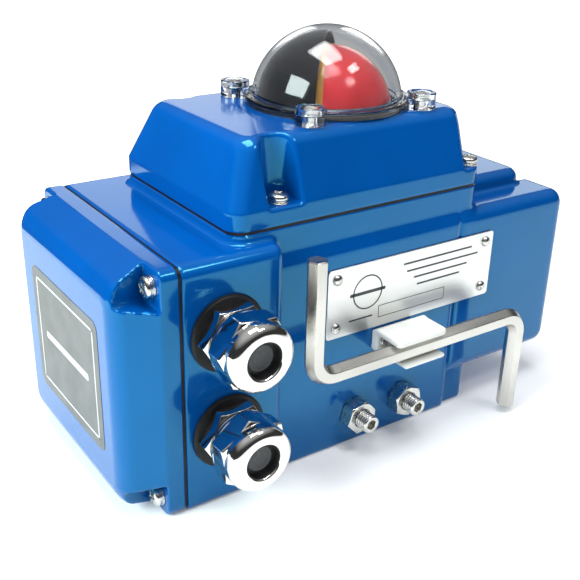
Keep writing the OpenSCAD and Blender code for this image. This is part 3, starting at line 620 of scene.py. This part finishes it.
def shape(name, parts, sharp=32):
    """One mesh of several (points, faces), in millimetres, smooth but for its sharp edges."""
    pts, faces = [], []
    for p, f in parts:
        faces += [[v + len(pts) for v in face] for face in f]
        pts += [tuple(c * MM for c in v) for v in p]
    me = bpy.data.meshes.new(name)
    me.from_pydata(pts, [], faces)
    me.validate()
    me.shade_smooth()
    me.set_sharp_from_angle(angle=math.radians(sharp))
    return me


def moved(part, turn, shift):
    pts, faces = part
    turned_pts = np.asarray(pts, float) @ np.asarray(turn, float).T + np.asarray(shift, float)
    return [tuple(v) for v in turned_pts], faces


def round_outline(u0, u1, v0, v1, r, steps=8):
    """Points round a rectangle with round corners, anticlockwise."""
    out = []
    corners = ((u1 - r, v0 + r), (u1 - r, v1 - r), (u0 + r, v1 - r), (u0 + r, v0 + r))
    for start, (cu, cv) in zip((-90, 0, 90, 180), corners):
        for i in range(steps + 1):
            a = math.radians(start + 90 * i / steps)
            out.append((cu + r * math.cos(a), cv + r * math.sin(a)))
    return out


def slab_on(outlines, place):
    """Stacked outlines, each (points, height), as one closed solid placed by place(u, v, h)."""
    pts, faces, k = [], [], len(outlines[0][0])
    for line, h in outlines:
        pts += [place(u, v, h) for u, v in line]
    for i in range(len(outlines) - 1):
        faces += [[i * k + j, i * k + (j + 1) % k, (i + 1) * k + (j + 1) % k, (i + 1) * k + j]
                  for j in range(k)]
    faces += [[j for j in reversed(range(k))], [(len(outlines) - 1) * k + j for j in range(k)]]
    return pts, faces


# ---- screws, nuts and glands -----------------------------------------------------------

def pan_screw(x, y, z):
    """Cross-recessed pan head over a spring washer and a flat washer, its seat at z 0."""
    r = length(x, y)
    d = meet(r - 4.2, span(z, 0.0, 0.65), 0.15)
    ring = meet(r - 3.7, span(z, 0.6, 1.35), 0.2)
    ring = cut(ring, rect(x, y * 0.94 + x * 0.34, 2.3, 6, -0.3, 0.3, 0.05), 0.1)
    d = join(d, ring, 0.05)
    head = meet(meet(r - 4.0, span(z, 1.4, 4.0), 0.35), length(r, z + 3.6) - 7.6, 0.6)
    d = join(d, head, 0.05)
    d = join(d, meet(r - 2.0, span(z, -13.0, 1.0), 0.3), 0.1)
    cross = join(rect(x, y, -2.1, 2.1, -0.42, 0.42, 0.15), rect(x, y, -0.42, 0.42, -2.1, 2.1, 0.15), 0.25)
    return cut(d, meet(cross, 2.6 + length(x, y) * 0.35 - z, 0.05), 0.12)


SMALL_SCREW, CLIP_SCREW = 0.82, 0.61


def small_screw(x, y, z):
    return pan_screw(x / SMALL_SCREW, y / SMALL_SCREW, z / SMALL_SCREW) * SMALL_SCREW


def chamfered_hex(x, y, z, af, z0, z1, flat_r):
    """Hex whose corners are turned off at both ends, down to radius flat_r."""
    d = meet(hexagon(x, y, af, 0.25), span(z, z0, z1), 0.15)
    cone = (length(x, y) - flat_r) * 0.5 + span(z, z0, z1) * 0.866
    return meet(d, cone, 0.2)


def thread(x, y, z, r, pitch, depth):
    """Cylinder of radius r with a right-hand thread."""
    turn = np.arctan2(y, x) / (2 * math.pi)
    saw = np.abs(np.mod(z / pitch - turn, 1.0) - 0.5) * 2
    return (length(x, y) - r + depth * (1 - saw) ** 0.8) * 0.8


GLAND_R, GLAND_PITCH, GLAND_AF, CAP_AF = 10.0, 1.5, 24, 25.6


def gland_body(x, y, z):
    r = length(x, y)
    d = meet(thread(x, y, z, GLAND_R, GLAND_PITCH, 0.5), span(z, -9.9, 19), 0.3)
    d = join(d, meet(r - 11.2, span(z, 7.5, 9.0), 0.4), 0.15)
    d = join(d, chamfered_hex(x, y, z, GLAND_AF, 2.0, 8.0, 12.1), 0.2)
    return cut(d, r - 7.7, 0.3)


def gland_cap(x, y, z):
    """Cap nut with a rounded nose, from z 0 to 15.4."""
    r = length(x, y)
    nose = length(np.maximum(r - 8.9, 0), np.maximum(z - 11.0, 0)) - 4.4
    skin = meet(nose, r - 13.3, 1.0)
    skin = meet(skin, -z, 0.4)
    flats = meet(hexagon(x, y, CAP_AF, 0.8, math.pi / 6), span(z, 0.5, 9.4), 0.6)
    flats = meet(flats, (r - 13.1) * 0.5 + span(z, 0.5, 9.4) * 0.866, 0.5)
    collar = meet(r - 13.2, span(z, 0.0, 1.6), 0.4)
    d = join(join(skin, flats, 0.3), collar, 0.2)
    d = cut(d, meet(r - 6.9, span(z, 8.0, 30), 0.01), 1.0)
    d = cut(d, meet(r - 10.06, span(z, -5, 9.3), 0.01), 0.2)
    return cut(d, meet(r - 7.8, span(z, 8.0, 13.0), 0.01), 0.0)


def stop_nut(x, y, z):
    d = chamfered_hex(x, y, z, 13, 0.0, 6.5, 6.4)
    return cut(d, length(x, y) - 4.06, 0.35)


def stop_screw(x, y, z):
    """Set screw from z -24.7 to 12.5 with a hex socket in its outer end."""
    d = meet(thread(x, y, z, 3.98, 1.25, 0.42), span(z, -24.7, 12.5), 0.5)
    return cut(d, meet(hexagon(x, y, 4.0, 0.1), 8.0 - z, 0.1), 0.25)


def place_all(name, data, places, material, body, nodes):
    show(name, new_mesh(name, *many(data, places)), material, body, nodes)


FINE = 1.0
screw_data = field_mesh(pan_screw, (-4.2, -4.2, -13), (4.2, 4.2, 4.1), 0.26 * FINE)
small_data = field_mesh(small_screw, (-3.5, -3.5, -10.7), (3.5, 3.5, 3.4), 0.22 * FINE)
place_all("terminal_screws_m4", screw_data,
          [(TO_LEFT @ turn_z(t), (END_RIM, a, b)) for t, (a, b) in zip((20, 65, 5, 40), end_screws)],
          "stainless", housing, ["terminal_cover_screws"])
place_all("cover_screws_m4", screw_data,
          [(turn_z(t), (a, b, LID_RIM)) for t, (a, b) in zip((10, 52, 33, 71), lid_screws)],
          "stainless", housing, ["top_cover_screws"])
LUG_CIRCLE = 38.6
lid_top = lid_hi[2]
LUG_SEAT = lid_top + 3.6
place_all("dome_screws_m4", small_data,
          [(turn_z(a + 12), (LUG_CIRCLE * math.cos(math.radians(a)),
                             LUG_CIRCLE * math.sin(math.radians(a)), LUG_SEAT))
           for a in (45, 135, 225, 315)],
          "stainless", housing, ["dome_screws"])

gland_places = [(TO_FRONT, (gland_x, body_lo[1], z)) for z in gland_zs]
place_all("gland_hex_bodies", field_mesh(gland_body, (-14, -14, -10), (14, 14, 19), 0.36 * FINE),
          gland_places, "nickel_plate", housing, ["gland_bodies"])
cap_data = field_mesh(gland_cap, (-15, -15, 0), (15, 15, 15.4), 0.34 * FINE)
cap_y = cap_up_hi[1]
for word, z, turn in (("lower", gland_zs[0], 8), ("upper", gland_zs[1], 24)):
    place_all("gland_cap_nut_" + word, cap_data, [(TO_FRONT @ turn_z(turn), (gland_x, cap_y, z))],
              "nickel_plate", "gland_" + word, ["gland_cap_" + word])

washer_line = [(10.2, 0.1), (14.2, 0.0), (14.9, 0.2), (15.2, 0.7), (15.1, 1.1), (14.7, 1.3), (14.9, 1.5),
               (14.6, 1.9), (13.9, 2.0), (10.2, 2.0)]
insert_line = [(5.15, 12.3), (6.2, 12.3), (6.4, 12.6), (6.45, 14.5), (6.7, 14.8), (7.3, 14.8), (7.5, 14.5),
               (7.5, 3.5), (5.15, 3.5)]
blank_line = [(0.02, 12.1), (3.9, 12.1), (4.5, 12.4), (5.05, 12.3), (5.08, 10.5), (0.02, 10.5)]
show("gland_seal_rings", shape("gland_seal_rings", [
    moved(turned(washer_line), TO_FRONT, (gland_x, body_lo[1], z)) for z in gland_zs]),
    "gasket_rubber", nodes=("gland_washers",))
show("gland_rubber_inserts", shape("gland_rubber_inserts", [
    moved(turned(insert_line), TO_FRONT, (gland_x, cap_y, z)) for z in gland_zs], 50),
    "gasket_rubber", nodes=("gland_inserts",))
show("gland_blank_discs", shape("gland_blank_discs", [
    moved(turned(blank_line), TO_FRONT, (gland_x, cap_y, z)) for z in gland_zs], 50),
    "blank_plastic", nodes=("gland_blanks",))

nut_data = field_mesh(stop_nut, (-7.6, -7.6, 0), (7.6, 7.6, 6.5), 0.26 * FINE)
place_all("stop_lock_nuts", nut_data, [(TO_FRONT @ turn_z(t), (x, wall_y, STOP_Z))
                                       for t, x in ((14, -STOP_X), (38, STOP_X))],
          "stainless", housing, ["stop_nuts"])
stop_data = field_mesh(stop_screw, (-4, -4, -24.7), (4, 4, 12.5), 0.24 * FINE)
for word, x in (("left", -STOP_X), ("right", STOP_X)):
    place_all("stop_set_screw_" + word, stop_data, [(TO_FRONT @ turn_z(18), (x, wall_y, STOP_Z))],
              "stainless", "stop_" + word, ["stop_screw_" + word])


# ---- hand wrench and its clip ------------------------------------------------------------

BAR_AF = wrench_hi[1] - wrench_lo[1]
BAR_Z = 49.0
BEND_R = 8.5
# The bar's ends taper to this share of its width over this length
TIP_SHARE, TIP_LENGTH = 0.86, 0.55


def wrench_path():
    """Centre line of the bar in X and Z, with the direction at each point."""
    x0, x1 = wrench_lo[0] + BAR_AF / math.sqrt(3), wrench_hi[0] - BAR_AF / math.sqrt(3)
    z0, z1, bar, b = wrench_lo[2], wrench_hi[2], BAR_Z, BEND_R
    out = [((x0, z1), (0, -1)), ((x0, z1 - 30), (0, -1))]
    for i in range(15):
        a = math.radians(180 + 90 * i / 14)
        out.append(((x0 + b + b * math.cos(a), bar + b + b * math.sin(a)), (-math.sin(a), math.cos(a))))
    out.append((((x0 + x1) / 2, bar), (1, 0)))
    for i in range(15):
        a = math.radians(90 - 90 * i / 14)
        out.append(((x1 - b + b * math.cos(a), bar - b + b * math.sin(a)), (math.sin(a), -math.cos(a))))
    out += [((x1, z0 + 20), (0, -1)), ((x1, z0), (0, -1))]
    return out


def hex_outline(af, r, steps=4):
    """Hexagon with round corners: across the bar's plane first, then along Y."""
    out = []
    for k in range(6):
        corner = math.radians(60 * k)
        reach = (af / 2 - r) / math.cos(math.radians(30))
        for i in range(steps + 1):
            a = corner + math.radians(-30 + 60 * i / steps)
            out.append((reach * math.cos(corner) + r * math.cos(a),
                        reach * math.sin(corner) + r * math.sin(a)))
    return out


def swept_wrench():
    path = wrench_path()
    line, y = hex_outline(BAR_AF, 0.6), (wrench_lo[1] + wrench_hi[1]) / 2
    rings = []
    first, last = path[0], path[-1]
    stations = [(first, 0.0, TIP_SHARE), (first, TIP_LENGTH, 1.0)]
    stations += [(p, 0, 1.0) for p in path[1:-1]]
    stations += [(last, -TIP_LENGTH, 1.0), (last, 0.0, TIP_SHARE)]
    for ((px, pz), (tx, tz)), along, grow in stations:
        rings.append([(px + tx * along - tz * u * grow, y + v * grow, pz + tz * along + tx * u * grow)
                      for u, v in line])
    k = len(line)
    pts = [v for ring in rings for v in ring]
    faces = [[i * k + j, i * k + (j + 1) % k, (i + 1) * k + (j + 1) % k, (i + 1) * k + j]
             for i in range(len(rings) - 1) for j in range(k)]
    faces += [list(reversed(range(k))), [(len(rings) - 1) * k + j for j in range(k)]]
    return pts, faces


show("hex_hand_wrench", shape("hex_hand_wrench", [swept_wrench()], 28), "wrench_steel", "wrench",
     ("hand_wrench",))


CLIP_SPINE = 3.6
CLIP_SPINE_X = -5.3
CLIP_LINK_Y = -52.0


def thick_line(y, z, a, b, r):
    """Distance to the line from a to b, less a radius."""
    run, rise = b[0] - a[0], b[1] - a[1]
    t = np.clip(((y - a[0]) * run + (z - a[1]) * rise) / (run * run + rise * rise), 0, 1)
    return length(y - a[0] - t * run, z - a[1] - t * rise) - r


def clip_field(x, y, z):
    """Plastic clip: a rounded arm over the bar, a spine on the wall and a thin lower jaw."""
    front, half = clip_lo[1], BAR_AF / 2 + 0.9
    plan = rect(x, y, clip_lo[0], clip_hi[0], front, wall_y, 2.4)
    arm = meet(rect(y, z, front, CLIP_LINK_Y, BAR_Z + half, clip_hi[2], 1.3), plan, 1.0)
    link = thick_line(y, z, (CLIP_LINK_Y - 1.4, clip_hi[2] - 1.5),
                      (wall_y - CLIP_SPINE + 1.4, plate_lo[2] - 2.4), 1.5)
    spine = rect(y, z, wall_y - CLIP_SPINE, wall_y, BAR_Z - half - 1.4, plate_lo[2] - 1.4, 0.6)
    jaw = rect(y, z, front + 0.3, wall_y, BAR_Z - half - 1.4, BAR_Z - half, 0.6)
    rest = join(join(link, spine, 0.8), jaw, 0.8)
    rest = meet(rest, rect(x, y, CLIP_SPINE_X, clip_hi[0], front + 0.3, wall_y + 3, 1.2), 0.5)
    d = join(arm, rest, 0.6)
    return cut(d, length(x - clip_screw_x, z - clip_screw_z) - 1.5, 0.2)


clip_screw_lo, clip_screw_hi = mm_box("clip_screw")
clip_screw_x = (clip_screw_lo[0] + clip_screw_hi[0]) / 2
clip_screw_z = (clip_screw_lo[2] + clip_screw_hi[2]) / 2
show("wrench_spring_clip", new_mesh("wrench_spring_clip", *field_mesh(
    clip_field, clip_lo - 1, clip_hi + 1, 0.4 * FINE)), "white_plastic", nodes=("wrench_clip",))
place_all("clip_screw_m2", (small_data[0] * CLIP_SCREW, small_data[1], small_data[2]),
          [(TO_FRONT @ turn_z(30), (clip_screw_x, wall_y - CLIP_SPINE, clip_screw_z))],
          "stainless", housing, ["clip_screw"])


# ---- dome and indicator --------------------------------------------------------------

DOME_Z = lid_top
DOME_R = dome_hi[2] - DOME_Z
DOME_WALL = 2.0
DOME_FLANGE_R = 34.0
LUG_R, LUG_POCKET_R, LUG_HOLE_R = 6.0, 3.95, 2.2


def dome_field(x, y, z):
    r = length(x, y)
    ball = meet(length(r, z - DOME_Z) - DOME_R, DOME_Z - z, 0.3)
    flange = meet(r - DOME_FLANGE_R, span(z, lid_top, lid_top + 3.5), 0.7)
    d = join(ball, flange, 0.8)
    u, v = np.maximum(np.abs(x), np.abs(y)), np.minimum(np.abs(x), np.abs(y))
    c = LUG_CIRCLE * math.sqrt(0.5)
    lug = length(u - c, v - c)
    along = (u + v) * math.sqrt(0.5)
    across = (u - v) * math.sqrt(0.5)
    web = rect(along, across, 31.5, LUG_CIRCLE, -5, 5, 0.5)
    web = meet(meet(web, span(z, lid_top, lid_top + 3.2), 0.5), 32.5 - r, 0.0)
    tube = meet(lug - LUG_R, span(z, lid_top, lid_top + 6.7), 0.7)
    d = join(join(d, web, 0.6), tube, 0.6)
    inside = np.where(z > DOME_Z, length(r, z - DOME_Z), r) - (DOME_R - DOME_WALL)
    d = cut(d, inside, 0.3)
    d = cut(d, meet(lug - LUG_POCKET_R, LUG_SEAT - z, 0.2), 0.5)
    return cut(d, lug - LUG_HOLE_R, 0.2)


reach = dome_hi[0]
show("clear_indicator_dome", new_mesh("clear_indicator_dome", *field_mesh(
    dome_field, (-reach, -reach, lid_top), (reach, reach, dome_hi[2]), 0.55 * FINE)), "clear_dome",
    nodes=("dome",))


def ball_shell(r_out, r_in, zc, z0, steps=28, top=90.0):
    """Outline of a spherical wall round height zc, from height z0 up to latitude top."""
    low_o = math.degrees(math.asin(max(-1, (z0 - zc) / r_out)))
    low_i = math.degrees(math.asin(max(-1, (z0 - zc) / r_in)))
    out = [(max(r_out * math.cos(a), 0.02), zc + r_out * math.sin(a))
           for a in np.radians(np.linspace(low_o, top, steps))]
    return out + [(max(r_in * math.cos(a), 0.02), zc + r_in * math.sin(a))
                  for a in np.radians(np.linspace(top, low_i, steps))]


MASK_OUT, MASK_IN = DOME_R - 2.35, DOME_R - 3.2
mask_line = ball_shell(MASK_OUT, MASK_IN, DOME_Z, lid_top + 0.25)
show("half_mask", shape("half_mask", [turned(mask_line, 45, 225)], 40), "indicator_black",
     nodes=("indicator_mask",))
DRUM_R, DRUM_Z, DRUM_WALL = 27.2, DOME_Z - 4.0, 1.8
drum_line = ball_shell(DRUM_R, DRUM_R - DRUM_WALL, DRUM_Z, lid_top + 3)
for word, start in (("red", 50), ("yellow", 140)):
    show("indicator_cup_" + word, shape("indicator_cup_" + word, [
        turned(drum_line, start + k, start + k + 90, 48) for k in (0, 180)], 40),
        "indicator_" + word, "output", ("indicator_" + word,))


# ---- nameplate ---------------------------------------------------------------------------

def on_front(u, v, h):
    return (u, wall_y - h, v)


plate = (plate_lo[0], plate_hi[0], plate_lo[2], plate_hi[2])
plate_t = plate_hi[1] - plate_lo[1]
PLATE_R, PLATE_EDGE, RIVET_INSET = 1.5, 0.15, 4.5
plate_face = (plate[0] + PLATE_EDGE, plate[1] - PLATE_EDGE, plate[2] + PLATE_EDGE, plate[3] - PLATE_EDGE)
show("blank_nameplate", shape("blank_nameplate", [slab_on([
    (round_outline(*plate, PLATE_R), 0.0), (round_outline(*plate, PLATE_R), plate_t - PLATE_EDGE),
    (round_outline(*plate_face, PLATE_R - PLATE_EDGE), plate_t)],
    on_front)]), "label_steel", nodes=("nameplate",))
rivet_line = [(0.02, 1.5), (0.8, 1.42), (1.5, 1.15), (2.05, 0.7), (2.3, 0.15), (2.3, 0.0), (1.0, 0.0),
              (0.98, -3.4), (0.02, -3.4)]
rivet_spots = [(x, z) for x in (plate[0] + RIVET_INSET, plate[1] - RIVET_INSET)
               for z in (plate[2] + RIVET_INSET, plate[3] - RIVET_INSET)]
show("plate_rivets", shape("plate_rivets", [
    moved(turned(rivet_line, steps=32), TO_FRONT, (x, wall_y - plate_t, z)) for x, z in rivet_spots], 60),
    "stainless", nodes=("nameplate_rivets",))


def ink(u0, u1, v0, v1, place, base):
    line = round_outline(u0, u1, v0, v1, min(u1 - u0, v1 - v0) * 0.3, 3)
    return slab_on([(line, base - 0.02), (line, base + 0.04)], place)


def ring_ink(u, v, r, w, base):
    return moved(turned([(r, 0.04), (r, -0.02), (r - w, -0.02), (r - w, 0.04)], steps=64), TO_FRONT,
                 (u, wall_y - base, v))


marks = [ring_ink(plate[0] + 20, plate[2] + 17, 7.5, 0.6, plate_t)]
marks.append(ink(plate[0] + 11, plate[0] + 29, plate[2] + 16.3, plate[2] + 17.7, on_front, plate_t))
for v, u0, u1 in ((24.5, 38, 76), (21, 40, 80), (17.5, 44, 74), (14, 46, 70)):
    marks.append(ink(plate[0] + u0, plate[0] + u1, plate[2] + v, plate[2] + v + 0.8, on_front, plate_t))
for u0, u1, v0, v1 in ((26, 62, 4, 4.3), (26, 62, 9.2, 9.5), (26, 26.3, 4, 9.5), (61.7, 62, 4, 9.5)):
    marks.append(ink(plate[0] + u0, plate[0] + u1, plate[2] + v0, plate[2] + v1, on_front, plate_t))
marks.append(ink(plate[0] + 11, plate[0] + 23, plate[2] + 5.6, plate[2] + 6.3, on_front, plate_t))
show("nameplate_marks", shape("nameplate_marks", marks), "print_dark")


def on_end(u, v, h):
    return (end_lo[0] - h, -u, v)


decal = (-33.0, 31.0, 24.0, 78.0)
show("end_decal", shape("end_decal", [slab_on([
    (round_outline(*decal, 4), -0.05), (round_outline(*decal, 4), 0.15)], on_end)]), "decal_grey")
border = []
for a, b, c, d in ((-29, 27, 28, 28.9), (-29, 27, 73.1, 74), (-29, -28.1, 28, 74), (26.1, 27, 28, 74),
                   (-22, 20, 49.5, 52.5)):
    border.append(ink(a, b, c, d, on_end, 0.15))
show("end_decal_lines", shape("end_decal_lines", border), "label_steel")


# ---- floor, light, camera --------------------------------------------------------------

def sheet(name, x0, x1, y0, y1, z, material):
    me = bpy.data.meshes.new(name)
    me.from_pydata([(x0, y0, z), (x1, y0, z), (x1, y1, z), (x0, y1, z)], [], [(0, 1, 2, 3)])
    o = bpy.data.objects.new(name, me)
    bpy.context.scene.collection.objects.link(o)
    me.materials.append(material)


floor_m, floor_nt, floor_s = nodes_of("floor_white")
floor_tone = ramp(floor_nt, noise(floor_nt, 3, 2), [(0.3, (0.88, 0.88, 0.88)), (0.7, (0.91, 0.91, 0.91))])
floor_s.inputs["Roughness"].default_value = 0.6
floor_s.inputs["Specular IOR Level"].default_value = 0.2
floor_s.inputs["Emission Color"].default_value = (0.95, 0.98, 1.0, 1)
floor_s.inputs["Emission Strength"].default_value = 0.12
floor_nt.links.new(floor_tone, floor_s.inputs["Base Color"])
sheet("floor", -1.5, 2.2, -1.6, 0.36, 0.0, floor_m)

scene = bpy.context.scene
scene.view_settings.view_transform = "Standard"
world = bpy.data.worlds.new("studio")
scene.world = world
world.use_nodes = True
wn = world.node_tree
background = wn.nodes["Background"]
path = wn.nodes.new("ShaderNodeLightPath")


def ray_mix(kind, plain, special):
    """Grey level that is special for that kind of ray."""
    m = wn.nodes.new("ShaderNodeMix")
    m.data_type = "FLOAT"
    if isinstance(plain, float):
        m.inputs[2].default_value = plain
    else:
        wn.links.new(plain, m.inputs[2])
    if isinstance(special, float):
        m.inputs[3].default_value = special
    else:
        wn.links.new(special, m.inputs[3])
    wn.links.new(path.outputs[kind], m.inputs["Factor"])
    return m.outputs[0]


background.inputs["Color"].default_value = (0.94, 0.97, 1.0, 1)
where = wn.nodes.new("ShaderNodeTexCoord")
height = wn.nodes.new("ShaderNodeSeparateXYZ")
wn.links.new(where.outputs["Generated"], height.inputs[0])
sky = wn.nodes.new("ShaderNodeMapRange")
wn.links.new(height.outputs["Z"], sky.inputs["Value"])
for key, value in (("From Min", 0.38), ("From Max", 0.85), ("To Min", 0.04), ("To Max", 0.55)):
    sky.inputs[key].default_value = value
glossy = ray_mix("Is Glossy Ray", 0.42, sky.outputs["Result"])
level = ray_mix("Is Transmission Ray", glossy, 0.45)
wn.links.new(ray_mix("Is Camera Ray", level, 1.5), background.inputs["Strength"])


def softbox(name, place, aim, size, power, colour=(1, 1, 1)):
    light = bpy.data.lights.new(name, "AREA")
    light.shape = "RECTANGLE"
    light.size, light.size_y = size
    light.energy = power
    light.color = colour
    o = bpy.data.objects.new(name, light)
    scene.collection.objects.link(o)
    o.location = place
    o.rotation_mode = "QUATERNION"
    o.rotation_quaternion = (Vector(aim) - Vector(place)).to_track_quat("-Z", "Y")
    return o


softbox("overhead", (-0.05, 0.0, 1.2), (0, 0, 0.08), (0.7, 0.5), 10.5)
left = softbox("left_panel", (-1.2, 0.0, 0.75), (-0.1, 0, 0.06), (0.8, 0.6), 27, (0.9, 1.03, 1.0))
left.visible_glossy = False
softbox("key", (0.35, -0.6, 1.05), (0, 0, 0.08), (0.3, 0.2), 2.2)
softbox("back_window", (0.438, 1.096, 0.45), (0, 0, 0.12), (0.36, 0.35), 0.5)
softbox("right_window", (1.0, 0.78, 0.49), (0.06, 0, 0.1), (0.42, 0.36), 0.75)

camera = bpy.data.cameras.new("camera")
camera.sensor_width = 36.0
camera.lens = 56.85
camera.clip_start = 0.02
eye = bpy.data.objects.new("camera", camera)
scene.collection.objects.link(eye)
right, up, back = (0.82856, -0.55944, 0.02260), (0.21786, 0.35933, 0.90742), (-0.51578, -0.74693, 0.41961)
eye.matrix_world = Matrix([[right[i], up[i], back[i], p] for i, p in enumerate((-0.22394, -0.30149, 0.22356))]
                          + [[0, 0, 0, 1]])
scene.camera = eye
